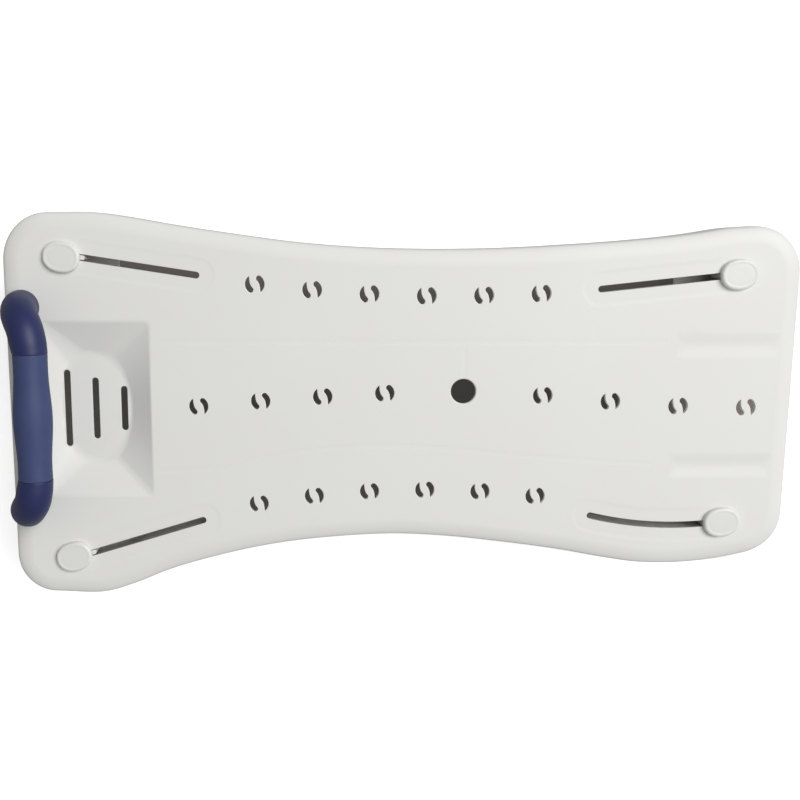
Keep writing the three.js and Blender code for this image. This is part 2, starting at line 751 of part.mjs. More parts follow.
// The handle's tubular body: two elbows and the thinner bar that the grip covers.
// The underside of each foot is cut to the board's rounded edge.
function handleCoreSolid() {
  const gripX = atInset(-1, handleFootInset + gripLean);
  const seat = roundedPrism(
    boardOutline(), -skirtDepth - 2 * edgeRadius, gap, edgeRadius + gap, edgeSteps, -gap,
  );
  const pieces = handleFootPlaces().map((foot) => {
    const across = (reach) => foot.sign * reach - handleMiddle;
    const elbow = (place) => new THREE.Vector3(
      foot.x + place.lean,
      across(footHalfSpacing * place.share),
      place.height,
    );
    const path = new THREE.CatmullRomCurve3([
      new THREE.Vector3(foot.x, foot.y, -footSink),
      new THREE.Vector3(foot.x, foot.y, footStraight),
      elbow(elbowOutward),
      elbow(elbowInner),
      new THREE.Vector3(gripX, across(gripHalfLength + gap), gripHeight),
      new THREE.Vector3(gripX, across(gripHalfLength - handleCoreRadius), gripHeight),
    ]);
    const shape = new THREE.Shape(
      circlePoints(0, 0, handleRadius, handleRadius, 0, 2 * Math.PI, handleSegments).slice(0, -1),
    );
    const tube = solid(new THREE.ExtrudeGeometry(shape, { steps: elbowSteps, extrudePath: path }));
    return tube.subtract(seat).subtract(
      cylinder(screwHoleRadius, -overcut, screwBite + gap, foot.x, foot.y, screwSegments),
    );
  });
  const bar = new THREE.CylinderGeometry(
    handleCoreRadius,
    handleCoreRadius,
    2 * gripHalfLength + handleRadius,
    handleSegments,
  );
  bar.translate(gripX, -handleMiddle, gripHeight);
  const sleeveRoom = box(
    boardLength,
    2 * (gripHalfLength + gap),
    4 * handleRadius,
    0,
    -handleMiddle,
    gripHeight,
  );
  return union(pieces).subtract(sleeveRoom).add(solid(bar));
}

// The soft sleeve: plain at its two ends and fuller at its middle.
function handleGripSolid() {
  const bore = handleCoreRadius + gap;
  const stations = [...sleeveStationShares, 1];
  const profile = [new THREE.Vector2(bore, -gripHalfLength)];
  for (const station of [...stations.map((share) => -share).reverse(), ...stations.slice(1)]) {
    const bend = Math.min(Math.abs(station) / swellShare, 1) * (Math.PI / 2);
    const radius = sleeveRadius + sleeveSwell * Math.cos(bend) ** 2;
    profile.push(new THREE.Vector2(radius, station * gripHalfLength));
  }
  profile.push(new THREE.Vector2(bore, gripHalfLength));
  profile.push(profile[0].clone());
  const geometry = new THREE.LatheGeometry(profile, handleSegments);
  geometry.translate(atInset(-1, handleFootInset + gripLean), -handleMiddle, gripHeight);
  return solid(geometry);
}

function handleScrewSolid(foot) {
  const seat = -handleSeatDepth - gap;
  const shank = cylinder(screwRadius, seat - overcut, screwBite, foot.x, foot.y, screwSegments);
  return shank.add(cylinder(screwHeadRadius, seat - screwHeadHeight, seat, foot.x, foot.y, screwSegments));
}

// Levels of the clamped stack below the slot guides
const plateTop = -guideDepth - gap;
const plateBottom = plateTop - bracketPlate;
const washerTop = plateBottom - gap;
const washerBottom = washerTop - washerThickness;
const wheelTop = washerBottom - gap;
const wheelBottom = wheelTop - wheelBossHeight - wheelHeight;

// Stop pieces are made at the origin with the slot running along +X.
function stopHeadSolid() {
  const oval = circlePoints(
    0, 0, headLength / 2, headWidth / 2, 0, 2 * Math.PI, 2 * headSegments,
  ).slice(0, -1);
  const seat = -trackDepth + gap;
  const full = roundedPrism(oval, seat - headBevel, seat + headHeight, headBevel, headBevelSteps, 0);
  const below = box(2 * headLength, 2 * headWidth, headHeight, 0, 0, seat - headHeight / 2);
  const key = box(
    keyOuterReach + keyInnerReach,
    keyWidth,
    keyDepth,
    (keyInnerReach - keyOuterReach) / 2,
    0,
    seat - keyDepth / 2 + gap,
  );
  const socket = cylinder(boreRadius, -guideDepth, boltSocketRise, 0, 0, boltSegments);
  return full.subtract(below).add(key).subtract(socket);
}

function stopBoltSolid() {
  return cylinder(boltRadius, wheelBottom - boltTail, boltSocketRise - gap, 0, 0, boltSegments);
}

function stopWasherSolid() {
  return cylinder(washerRadius, washerBottom, washerTop, 0, 0, washerSegments)
    .subtract(cylinder(boreRadius, washerBottom - overcut, washerTop + overcut, 0, 0, boltSegments));
}

// The bracket is a channel: plate, outer wall, two flanges and a foot.
function stopBracketSolid() {
  const bottom = plateTop - bracketDrop - bracketPlate;
  const side = [
    [-bracketOuter, plateTop],
    [-bracketOuter, bottom],
    [footDepth - bracketOuter, bottom],
    [flangeMidDepth - bracketOuter, plateBottom - flangeMidDrop],
    [flangeTopReach, plateBottom],
    [bracketInner, plateBottom],
    [bracketInner, plateTop],
  ].map(([x, z]) => new THREE.Vector2(x, z));
  const upright = (outline, width) => {
    const geometry = new THREE.ExtrudeGeometry(new THREE.Shape(outline), {
      depth: width,
      bevelEnabled: false,
    });
    geometry.rotateX(Math.PI / 2);
    geometry.translate(0, width / 2, 0);
    return solid(geometry);
  };
  const pocket = [
    [-bracketOuter + bracketWall, plateBottom],
    [-bracketOuter + bracketWall, bottom + bracketFoot],
    [2 * bracketInner, bottom + bracketFoot],
    [2 * bracketInner, plateBottom],
  ].map(([x, z]) => new THREE.Vector2(x, z));
  const plan = prism(roundedRectangle(
    -bracketOuter, bracketInner, -bracketWidth / 2, bracketWidth / 2, bracketCorner, bracketCornerSegments,
  ), bottom - overcut, plateTop + overcut);
  const hole = cylinder(boreRadius, plateBottom - overcut, plateTop + overcut, 0, 0, boltSegments);
  const plugHoles = union(bufferPlugLevels().map((z) => crossRod(
    plugHoleRadius, -bracketOuter - overcut, -bracketOuter + bracketWall + overcut, 0, z, plugSegments,
  )));
  return upright(side, bracketWidth)
    .subtract(upright(pocket, bracketWidth - 2 * bracketFlange))
    .intersect(plan)
    .subtract(hole)
    .subtract(plugHoles);
}

function bufferBottom() {
  return plateTop - bracketDrop - bracketPlate + bufferLower;
}

function bufferPlugLevels() {
  return plugShares.map((share) => bufferBottom() + bufferHeight * share);
}

// The buffer is a ribbed rubber block held by two plugs.
function stopBufferSolid() {
  const face = -bracketOuter - gap;
  const bottom = bufferBottom();
  const pitch = bufferHeight / bufferRidges;
  const outline = [new THREE.Vector2(face, bottom)];
  outline.push(new THREE.Vector2(face, bottom + bufferHeight));
  outline.push(new THREE.Vector2(face - bufferBase, bottom + bufferHeight));
  for (let i = bufferRidges - 1; i >= 0; i -= 1) {
    const start = bottom + i * pitch;
    outline.push(new THREE.Vector2(face - bufferBase, start + ridgeFootShares[1] * pitch));
    outline.push(new THREE.Vector2(face - bufferBase - bufferRidge, start + ridgeCrestShares[1] * pitch));
    outline.push(new THREE.Vector2(face - bufferBase - bufferRidge, start + ridgeCrestShares[0] * pitch));
    outline.push(new THREE.Vector2(face - bufferBase, start + ridgeFootShares[0] * pitch));
  }
  outline.push(new THREE.Vector2(face - bufferBase, bottom));
  const geometry = new THREE.ExtrudeGeometry(new THREE.Shape(outline), {
    depth: bufferWidth,
    bevelEnabled: false,
  });
  geometry.rotateX(Math.PI / 2);
  geometry.translate(0, bufferWidth / 2, 0);
  const plugs = bufferPlugLevels().map((z) => crossRod(
    plugRadius, face - bufferBase / 2, -bracketOuter + bracketWall, 0, z, plugSegments,
  ));
  return union([solid(geometry), ...plugs]);
}

// A lobed wheel with a short boss against the washer.
function stopWheelSolid() {
  const count = wheelLobes * wheelPointsPerLobe;
  const outline = [];
  for (let i = 0; i < count; i += 1) {
    const angle = (2 * Math.PI * i) / count;
    const radius = wheelRadius + wheelLobeDepth * Math.cos(wheelLobes * angle);
    outline.push(new THREE.Vector2(radius * Math.cos(angle), radius * Math.sin(angle)));
  }
  const wheel = roundedPrism(outline, wheelBottom, wheelTop - wheelBossHeight, wheelBevel, 1, 0);
  const bossBottom = wheelTop - wheelBossHeight - overcut;
  const boss = cylinder(wheelBossRadius, bossBottom, wheelTop, 0, 0, washerSegments);
  const bore = cylinder(boreRadius, wheelBottom - overcut, wheelTop + overcut, 0, 0, boltSegments);
  return wheel.add(boss).subtract(bore);
}

function rimPadSolid(pad) {
  const x = atInset(pad.end, rimPadInset);
  const y = pad.side * pad.reach;
  const top = -skirtDepth - gap;
  const outline = roundedRectangle(
    x - rimPadWidth / 2,
    x + rimPadWidth / 2,
    y - rimPadLength / 2,
    y + rimPadLength / 2,
    rimPadCorner,
    rimPadCornerSteps,
  );
  const body = roundedPrism(outline, top - rimPadThickness, top, rimPadBevel, 1, 0);
  const plugs = [-rimPlugSpacing / 2, rimPlugSpacing / 2].map((shift) => cylinder(
    rimPlugRadius, top - overcut, -skirtDepth + rimPlugHeight - gap, x, y + shift, plugSegments,
  ));
  return union([body, ...plugs]);
}

const group = new THREE.Group();

function addMesh(name, manifold, finish) {
  const mesh = new THREE.Mesh(geometryOf(manifold), new THREE.MeshStandardMaterial(finish));
  mesh.name = name;
  group.add(mesh);
  return mesh;
}

addMesh('board', boardSolid(), finishes.board);
addMesh('handle_core', handleCoreSolid(), finishes.handle);
addMesh('handle_grip', handleGripSolid(), finishes.grip);
for (const foot of handleFootPlaces()) {
  addMesh(`handle_screw_${foot.name}`, handleScrewSolid(foot), finishes.steel);
}
for (const pad of rimPadPlaces) {
  addMesh(pad.name, rimPadSolid(pad), finishes.rubber);
}
for (const place of stopPlaces) {
  const { point, along } = slotPath(place).at(0);
  const slotTurn = Math.atan2(along.y, along.x);
  const squareTurn = place.end > 0 ? Math.PI : 0;
  const pieces = [
    ['stop_head', stopHeadSolid(), slotTurn, finishes.head],
    ['stop_bolt', stopBoltSolid(), slotTurn, finishes.steel],
    ['stop_washer', stopWasherSolid(), slotTurn, finishes.steel],
    ['stop_bracket', stopBracketSolid(), squareTurn, finishes.board],
    ['stop_buffer', stopBufferSolid(), squareTurn, finishes.rubber],
    ['stop_wheel', stopWheelSolid(), squareTurn, finishes.wheel],
  ];
  for (const [name, manifold, turn, finish] of pieces) {
    const mesh = addMesh(`${name}_${place.name}`, manifold, finish);
    mesh.geometry.rotateZ(turn);
    mesh.geometry.translate(point.x, point.y, 0);
  }
}

// The origin goes to the middle of the base.
const bounds = new THREE.Box3().setFromObject(group);
const centre = bounds.getCenter(new THREE.Vector3());
for (const mesh of group.children) {
  mesh.geometry.translate(-centre.x, -centre.y, -bounds.min.z);
}

export default group;
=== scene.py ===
import math

import bpy
from mathutils import Matrix, Vector


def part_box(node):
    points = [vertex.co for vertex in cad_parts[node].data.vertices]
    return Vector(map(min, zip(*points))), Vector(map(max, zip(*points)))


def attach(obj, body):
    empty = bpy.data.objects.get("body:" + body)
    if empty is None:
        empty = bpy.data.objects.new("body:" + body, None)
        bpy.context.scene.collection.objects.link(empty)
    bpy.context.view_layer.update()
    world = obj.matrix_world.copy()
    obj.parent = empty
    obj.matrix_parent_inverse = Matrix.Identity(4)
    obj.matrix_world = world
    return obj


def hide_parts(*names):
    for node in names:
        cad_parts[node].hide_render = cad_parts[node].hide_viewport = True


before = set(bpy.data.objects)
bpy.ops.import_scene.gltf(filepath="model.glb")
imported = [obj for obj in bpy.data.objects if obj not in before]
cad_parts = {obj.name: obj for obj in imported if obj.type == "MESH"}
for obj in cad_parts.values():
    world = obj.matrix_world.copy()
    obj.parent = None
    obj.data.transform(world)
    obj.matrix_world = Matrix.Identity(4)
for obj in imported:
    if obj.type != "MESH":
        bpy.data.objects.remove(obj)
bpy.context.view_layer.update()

# Lengths are in millimetres in the seat's own frame: X along the board, Y across it and Z up
# from the seat's top surface. The function at() puts them into the shared frame in metres.
MM = 0.001
SEAT_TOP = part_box("board")[1].z
SIDE_SHIFT = 7.937 * MM
FULL_TURN = 2 * math.pi

# Seat: the outline has two waists, four shoulders where the sides turn, and four corner curves
HALF_LENGTH = 350
UPPER_WAIST = (34.0, 133.4)
LOWER_WAIST = (-2.0, -126)
UPPER_FAR_SHOULDER = (309, 153.3)
UPPER_HANDLE_SHOULDER = (-268, 165.3)
LOWER_HANDLE_SHOULDER = (-265, -180.9)
LOWER_FAR_SHOULDER = (240, -153.8)
LOWER_FAR_CORNER = [(316, -144.2), (334.8, -140.4), (350, -126.2), (350, -104)]
UPPER_FAR_CORNER = [(350, 111), (350, 134.3), (331.6, 153.3), (309, 153.3)]
UPPER_HANDLE_CORNER = [(-309, 165.3), (-331, 165.3), (-349.2, 145.9), (-349.2, 122)]
LOWER_HANDLE_CORNER = [(-349, -143.9), (-349, -164.3), (-333, -180.9), (-313, -180.9)]
EDGE_STEP = 7
CORNER_STEPS = 18
# The seat's edge stands a little inside the plain CAD edge
EDGE_SETBACK = 0.9

SKIN = 3.6
SKIRT = 30.05
OVERCUT = 1
BELOW_ALL = -60
# The seat falls away slowly towards its edge and then turns down tightly: (inset, height)
RIM = [
    (0, -7.6), (0.15, -5.9), (0.55, -4.7), (1.2, -3.75), (2.1, -3), (3.5, -2.3), (5.5, -1.55),
    (8, -0.9), (10.5, -0.42), (13, -0.12), (15.5, 0),
]
INNER_RIM = [(0, -9.5), (0.6, -7.2), (2, -5.6), (5, -4.6), (9, -3.9), (12.5, -3.6)]

# Soap dish: a mouth with straight sides, and an oval floor given by its middle and half sizes
DISH_DEPTH = 14
DISH_LEFT, DISH_RIGHT = -318, -221.5
DISH_LOW, DISH_HIGH = -87.8, 70
DISH_CORNER = 5
DISH_FLOOR = (-272.7, -8.8, 31.6, 49.7)
# Where a fold in the dish's wall meets the oval floor, and how far it spreads there
DISH_FOLD = math.radians(62)
SHARP_FOLD, SOFT_FOLD = math.radians(5), math.radians(17)
# The wall's rounding at its foot and at its lip, as shares of the wall
DISH_FOOT, DISH_LIP = 0.1, 0.055
# Each slot in the dish's floor: (place along the board, length)
DISH_SLOTS = [(-298.7, 70), (-273.4, 56), (-247.8, 40.5)]
DISH_SLOT_MIDDLE = -10
DISH_SLOT_HALF_WIDTH = 2.9

# Each stop: its place's name, the bolt at rest, the end of its slot and the slot's bow
STOPS = [
    ("upper_handle", (-296, 128), (-176.5, 109.8), 0),
    ("lower_handle", (-295, -146.6), (-174.5, -110), 0),
    ("upper_far", (293.2, 110.9), (171.8, 97.8), 0),
    ("lower_far", (292.5, -111.9), (171.1, -105.8), 5.95),
]
SLOT_HALF_WIDTH = 2.85
SLOT_STEPS = 40
TRACK_HALF_WIDTH = 15

# Flutes at the far end: (place across the board, greatest depth)
FLUTES = [(48.7, 0.8), (-59.7, 1.1)]
FLUTE_START, FLUTE_END = 255, 322
FLUTE_HALF_WIDTH = 13
FLUTE_STEPS = 12

# Sink lines: the faint dips that the ribs below leave in the seat
SINKS = [
    [(-213, 51.8), (232, 51.8)],
    [(-214.9, -64.8), (-156.5, -61.1), (-111.5, -50.1), (0.6, -42), (56.5, -45.5),
     (126.5, -51.9), (225.7, -58.5)],
    [(56.5, 22), (56.5, 44)],
]
SINK_HALF_WIDTH = 2

# Rows of drain pairs: the first pair and the pitch as shares of the length, the side of the
# middle line that the reaches count from, and each pair's reach
DRAIN_ROWS = [
    (0.3167, 0.07157, 1, [102.4, 97.5, 93.9, 92.2, 92.6, 94.2]),
    (0.3197, 0.07129, -1, [95.3, 88.1, 83.8, 82.4, 83.9, 88.1]),
    (0.2439, 0.07886, 1, [-5.9, -1.2, 2.8, 6]),
    (0.681, 0.08629, 1, [3.9, -1.4, -5.6, -6.7]),
]
DRAIN_EDGE = 0.6
ROUND_HOLE = (56.07, 7.7, 11)

# Walls of what is cut into the seat, from the bottom up: (growth of the outline, height)
TRACK_WALL = [
    (-3, -0.2), (-2, -0.18), (-1, -0.13), (0, -0.06), (1, -0.015), (1.5, 0.005), (1.5, OVERCUT),
]
SINK_WALL = [
    (-1.5, -0.07), (-0.8, -0.06), (0, -0.033), (0.8, -0.008), (1.3, 0.005), (1.3, OVERCUT),
]
# No wall shows inside the round hole, so the collar below it is opened up to its foot
ROUND_WALL = [
    (3.4, -SKIRT - OVERCUT), (3.4, -SKIN - 0.6), (2.9, -SKIN - 0.2), (0, -SKIN + 0.6), (0, -1.2),
    (0.1, -0.74), (0.35, -0.35), (0.74, -0.1), (1.2, 0), (1.2, OVERCUT),
]
# Each slot is wider inside its guide than in the skin, so its lit wall stays out of sight
SLOT_WALL = [
    (2.3, -SKIRT - 2 * OVERCUT), (2.3, -SKIN - 0.4), (0, -SKIN + 0.8), (0, -0.8), (0.06, -0.5),
    (0.23, -0.23), (0.5, -0.06), (0.8, 0), (0.8, OVERCUT),
]
# The heights of this one count from the dish's floor
DISH_SLOT_WALL = [
    (0.8, -6), (0.8, -2.2), (0, -1.4), (0, -0.6), (0.05, -0.37), (0.18, -0.17), (0.38, -0.04),
    (0.6, 0), (0.6, DISH_DEPTH + OVERCUT),
]

# Handle
FOOT_X = -331.7
FOOT_HALF_SPACING = 89.2
HANDLE_MIDDLE = 7.1
TUBE_RADIUS = 15.3
TUBE_SIDES = 14
BAR_RADIUS = 11.5
GRIP_X = -314.3
GRIP_HEIGHT = 45
GRIP_HALF_LENGTH = 54
GRIP_RADIUS = 14.3
GRIP_SWELL = 2.1
GRIP_FLARE = 0.2
GRIP_STEPS = 48
SEAM_GAP = 0.15
# Over this length the elbows ease to the sleeve's end, by this share of their radius
EASE_LENGTH = 10
EASE_SHARE = 0.045
SCREW_HOLE_RADIUS = 2.75

# Stops: rims as (inset, height), turned profiles as (height, radius)
CAP_HALF_LENGTH, CAP_HALF_WIDTH = 16.2, 13.5
CAP_FULLNESS = 0.92
CAP_RIM = [
    (0, 2.6), (0.12, 3.3), (0.45, 3.95), (0.95, 4.4), (1.6, 4.7), (2.4, 4.8), (3.1, 4.78),
    (3.5, 4.62), (3.9, 4.6), (5.5, 4.66), (7.5, 4.72),
]
# The caps at the handle end sit off their bolts, and the end of their key shows in the slot
CAP_SHIFT = {"upper_handle": (0.8, -2), "lower_handle": (0.8, 2)}
KEY_START, KEY_STOP = -12.6, 15.8
KEY_HALF_WIDTH = 2.15
KEY_BOTTOM = -22
KEY_END_MIDDLES = (8, 18.25)
KEY_END_RADIUS = 2.1
BOLT_HOLE_RADIUS = 2.8
BOLT_RADIUS = 2.5
THREAD_START = -34.5
THREAD_ROOT = 2.1
THREAD_CRESTS = 24
WASHER_PROFILE = [
    (-38.1, 2.8), (-38.1, 7.3), (-37.9, 7.5), (-36.8, 7.5), (-36.6, 7.3), (-36.6, 2.8),
    (-38.1, 2.8),
]
WHEEL_BOTTOM = -54.4
WHEEL_HEIGHT = 13
WHEEL_RADIUS = 13.6
LOBES = 6
LOBE_RISE = 1.4
BOSS_PROFILE = [
    (-42.4, 0), (-42.4, 7.5), (-38.9, 7.5), (-38.55, 7.35), (-38.4, 7), (-38.4, 0),
]
WHEEL_CAVITY = [
    (-56, 0), (-56, 10.4), (-54.4, 10), (-53.6, 9.4), (-53.2, 8.4), (-53.2, 5.6), (-53.6, 5),
    (-54.5, 4.6), (-56, 4.6), (-56, 2.8), (-38, 2.8), (-38, 0),
]
SCREW_PROFILE = [
    (-17.3, 0), (-17.4, 2.6), (-17.1, 4), (-16.2, 4.8), (-15.2, 5), (-14.5, 5), (-14.3, 4.8),
    (-14.3, 2.4), (15.2, 2.4), (16, 1.4), (16, 0),
]
UP = Vector((0, 0, 1))


def at(x, y, z):
    """A place in the seat's frame as a place in the shared frame."""
    return Vector((x * MM, y * MM + SIDE_SHIFT, z * MM + SEAT_TOP))


def handle_y(side, reach):
    """The place across the board that lies this far from the handle's middle."""
    return side * reach - HANDLE_MIDDLE


# Lines and outlines
def spline(points, step, alpha):
    """Points along a smooth line through the given ones, about one step apart."""
    points = [Vector(p) for p in points]
    points = [2 * points[0] - points[1], *points, 2 * points[-1] - points[-2]]
    out = []
    for p0, p1, p2, p3 in zip(points, points[1:], points[2:], points[3:]):
        t0 = 0
        t1 = t0 + (p1 - p0).length ** alpha
        t2 = t1 + (p2 - p1).length ** alpha
        t3 = t2 + (p3 - p2).length ** alpha
        count = max(1, round((p2 - p1).length / step))
        for i in range(count):
            t = t1 + (t2 - t1) * i / count
            a1 = p0 * ((t1 - t) / (t1 - t0)) + p1 * ((t - t0) / (t1 - t0))
            a2 = p1 * ((t2 - t) / (t2 - t1)) + p2 * ((t - t1) / (t2 - t1))
            a3 = p2 * ((t3 - t) / (t3 - t2)) + p3 * ((t - t2) / (t3 - t2))
            b1 = a1 * ((t2 - t) / (t2 - t0)) + a2 * ((t - t0) / (t2 - t0))
            b2 = a2 * ((t3 - t) / (t3 - t1)) + a3 * ((t - t1) / (t3 - t1))
            out.append(b1 * ((t2 - t) / (t2 - t1)) + b2 * ((t - t1) / (t2 - t1)))
    return [*out, points[-2]]


def corner(a, b, c, d):
    """Points along a corner's curve, from its first place to its last."""
    a, b, c, d = (Vector(p) for p in (a, b, c, d))
    out = []
    for i in range(CORNER_STEPS + 1):
        t = i / CORNER_STEPS
        u = 1 - t
        out.append(a * u ** 3 + b * (3 * u * u * t) + c * (3 * u * t * t) + d * t ** 3)
    return out


def arc(x, y, radius, start, end, steps):
    turns = [start + (end - start) * i / steps for i in range(steps + 1)]
    return [Vector((x + radius * math.cos(t), y + radius * math.sin(t))) for t in turns]


def circle(x, y, radius, sides):
    return arc(x, y, radius, 0, FULL_TURN, sides)[:-1]


def grow(points, distance):
    """The closed outline with each side moved outward by the distance."""
    out = []
    for i, p in enumerate(points):
        before = (p - points[i - 1]).normalized()
        after = (points[(i + 1) % len(points)] - p).normalized()
        normal = Vector((before.y + after.y, -before.x - after.x))
        normal.normalize()
        lean = max(0.5, normal.dot(Vector((before.y, -before.x))))
        out.append(p + normal * (distance / lean))
    return out


def rings_round(outline, wall):
    """The outline grown by each level of a wall, with that level's height."""
    return [(grow(outline, growth), height) for growth, height in wall]


def edge_stations(waist, shoulder, rises):
    """Places from a waist to a shoulder, as shares of the run and of the rise."""
    shares = [0.2, 0.4, 0.6, 0.8, 0.9]
    return [
        (waist[0] + (shoulder[0] - waist[0]) * share, waist[1] + (shoulder[1] - waist[1]) * rise)
        for share, rise in zip(shares, rises)
    ]


def board_outline():
    """The seat's outline, once round from its lower left corner."""
    upper = spline([
        UPPER_FAR_SHOULDER,
        *edge_stations(UPPER_WAIST, UPPER_FAR_SHOULDER, [0.045, 0.186, 0.38, 0.673, 0.9])[::-1],
        UPPER_WAIST,
        *edge_stations(UPPER_WAIST, UPPER_HANDLE_SHOULDER, [0.04, 0.175, 0.42, 0.708, 0.875]),
        UPPER_HANDLE_SHOULDER,
        UPPER_HANDLE_CORNER[0],
    ], EDGE_STEP, 1)
    lower = spline([
        LOWER_HANDLE_CORNER[-1],
        LOWER_HANDLE_SHOULDER,
        *edge_stations(LOWER_WAIST, LOWER_HANDLE_SHOULDER,
                       [0.047, 0.158, 0.36, 0.648, 0.847])[::-1],
        LOWER_WAIST,
        *edge_stations(LOWER_WAIST, LOWER_FAR_SHOULDER, [0.086, 0.277, 0.514, 0.827, 0.957]),
        LOWER_FAR_SHOULDER,
        (288, -149.9),
        LOWER_FAR_CORNER[0],
    ], EDGE_STEP, 1)
    return [
        *lower,
        *corner(*LOWER_FAR_CORNER)[1:],
        *corner(*UPPER_FAR_CORNER)[:-1],
        *upper,
        *corner(*UPPER_HANDLE_CORNER)[1:],
        *corner(*LOWER_HANDLE_CORNER)[:-1],
    ]


def dish_rings(extra, levels):
    """Rings from the oval floor up to the rectangular rim. Each level is (spread, height)."""
    rim = []
    floor = []
    x, y, half_x, half_y = DISH_FLOOR
    left, right = DISH_LEFT + DISH_CORNER, DISH_RIGHT - DISH_CORNER
    low, high = DISH_LOW + DISH_CORNER, DISH_HIGH - DISH_CORNER
    corners = [
        (right, high, DISH_FOLD, SHARP_FOLD, 14),
        (left, high, math.pi - DISH_FOLD, SOFT_FOLD, 22),
        (left, low, math.pi + DISH_FOLD, SOFT_FOLD, 14),
        (right, low, FULL_TURN - DISH_FOLD, SHARP_FOLD, 22),
    ]
    arcs = [
        arc(cx, cy, DISH_CORNER + extra, i * math.pi / 2, (i + 1) * math.pi / 2, 6)
        for i, (cx, cy, *_) in enumerate(corners)
    ]
    turns = []
    for i, (_, _, fold, spread, steps) in enumerate(corners):
        _, _, following, next_spread, _ = corners[(i + 1) % 4]
        following += FULL_TURN if i == 3 else 0
        next_start = arcs[(i + 1) % 4][0]
        for j, point in enumerate(arcs[i]):
            rim.append(point)
            turns.append(fold + spread * (j / 6 - 0.5) * 2)
        for step in range(1, steps):
            share = step / steps
            rim.append(arcs[i][-1].lerp(next_start, share))
            turns.append(fold + spread + (following - next_spread - fold - spread) * share)
    for turn in turns:
        floor.append(Vector((x + (half_x + extra) * math.cos(turn),
                             y + (half_y + extra) * math.sin(turn))))
    return [([f.lerp(r, spread) for f, r in zip(floor, rim)], height) for spread, height in levels]


def dish_wall():
    """Levels of a sloping wall that is rounded where it meets the floor and the seat."""
    levels = []
    for i in range(7):
        t = i / 6
        u = 1 - t
        levels.append((-DISH_FOOT * u * u + DISH_FOOT * t * t,
                       DISH_DEPTH * (DISH_FOOT * t * t - 1)))
    for i in range(7):
        t = i / 6
        u = 1 - t
        levels.append(((1 - DISH_LIP) * u * u + 2 * u * t + (1 + DISH_LIP) * t * t,
                       -DISH_DEPTH * DISH_LIP * u * u))
    return [*levels, (1 + DISH_LIP, OVERCUT)]


def slot_line(bolt, slot_end, bow, start, stop):
    """Places and directions along a slot's middle line, by distance from the bolt."""
    a, b = Vector(bolt), Vector(slot_end)
    along = (b - a).normalized()
    length = (b - a).length
    shares = [i / SLOT_STEPS for i in range(SLOT_STEPS + 1)]
    if not bow:
        return [(a + along * (start + (stop + length - start) * share), along)
                for share in shares]
    radius = length * length / (8 * bow) + bow / 2
    centre = (a + b) / 2 + Vector((along.y, -along.x)) * (radius - bow)
    first = math.atan2(a.y - centre.y, a.x - centre.x)
    full = 2 * radius * math.asin(length / (2 * radius))
    out = []
    for share in shares:
        turn = first - (start + (stop + full - start) * share) / radius
        out.append((centre + Vector((math.cos(turn), math.sin(turn))) * radius,
                    Vector((math.sin(turn), -math.cos(turn)))))
    return out


def round_end(place, turn, radius, steps):
    """The places between a band's two sides at one of its ends."""
    point, direction = place
    start = math.atan2(direction.y, direction.x) + turn
    return arc(point.x, point.y, radius, start, start + math.pi, steps)[1:-1]


def band(line, half_width, end_steps):
    """The outline of an even band along a line, with round ends."""
    left = [p + Vector((-d.y, d.x)) * half_width for p, d in line]
    right = [p - Vector((-d.y, d.x)) * half_width for p, d in line]
    return [
        *right,
        *round_end(line[-1], -math.pi / 2, half_width, end_steps),
        *left[::-1],
        *round_end(line[0], math.pi / 2, half_width, end_steps),
    ]


def comma(x, y, turned):
    """One comma of a drain pair, round the pair's centre."""
    pair_radius, head_radius = 8.5, 2.5
    tip, head, bend = Vector((-4.9, 7.5)), Vector((-3.7, -4.9)), Vector((-5, -0.6))
    back_start, tail_turn = math.radians(126), math.radians(236)
    head_end = tail_turn + math.radians(162)
    outer = arc(0, 0, pair_radius, back_start, tail_turn, 18)
    head_arc = arc(head.x, head.y, head_radius, tail_turn, head_end, 14)
    inner = []
    for i in range(1, 11):
        t = i / 11
        u = 1 - t
        inner.append(head_arc[-1] * u * u + bend * (2 * u * t) + tip * t * t)
    sign = -1 if turned else 1
    return [Vector((x + sign * p.x, y + sign * p.y)) for p in [*outer, *head_arc[1:], *inner]]


# Modelling steps
def new_object(name, data):
    obj = bpy.data.objects.new(name, data)
    bpy.context.scene.collection.objects.link(obj)
    return obj


def deselect():
    bpy.ops.object.select_all(action="DESELECT")


def only(obj):
    deselect()
    obj.select_set(True)
    bpy.context.view_layer.objects.active = obj


def edit(obj):
    only(obj)
    bpy.ops.object.mode_set(mode="EDIT")
    bpy.ops.mesh.select_all(action="SELECT")


def leave_edit():
    bpy.ops.object.mode_set(mode="OBJECT")


def apply(obj, modifier):
    only(obj)
    bpy.ops.object.modifier_apply(modifier=modifier.name)


def tidy_normals(obj, merge=0.00001):
    """Merges doubles and turns every face outwards."""
    edit(obj)
    bpy.ops.mesh.remove_doubles(threshold=merge)
    bpy.ops.mesh.normals_make_consistent(inside=False)
    leave_edit()


def wire(name, places, closed=False):
    """A thin line through places in the shared frame."""
    curve = bpy.data.curves.new(name, "CURVE")
    curve.dimensions = "3D"
    line = curve.splines.new("POLY")
    line.points.add(len(places) - 1)
    for point, place in zip(line.points, places):
        point.co = (*place, 1)
    line.use_cyclic_u = closed
    return new_object(name, curve)


def to_mesh(obj):
    only(obj)
    bpy.ops.object.convert(target="MESH")
    return bpy.context.active_object


def face_from(name, outline, z):
    """A flat face with that outline, ready to be extruded."""
    obj = to_mesh(wire(name, [at(p.x, p.y, z) for p in outline], closed=True))
    edit(obj)
    bpy.ops.mesh.edge_face_add()
    leave_edit()
    return obj


def extrude(height):
    """Extrudes what is selected upward. The new end stays selected."""
    bpy.ops.mesh.extrude_region_move(TRANSFORM_OT_translate={"value": (0, 0, height * MM)})


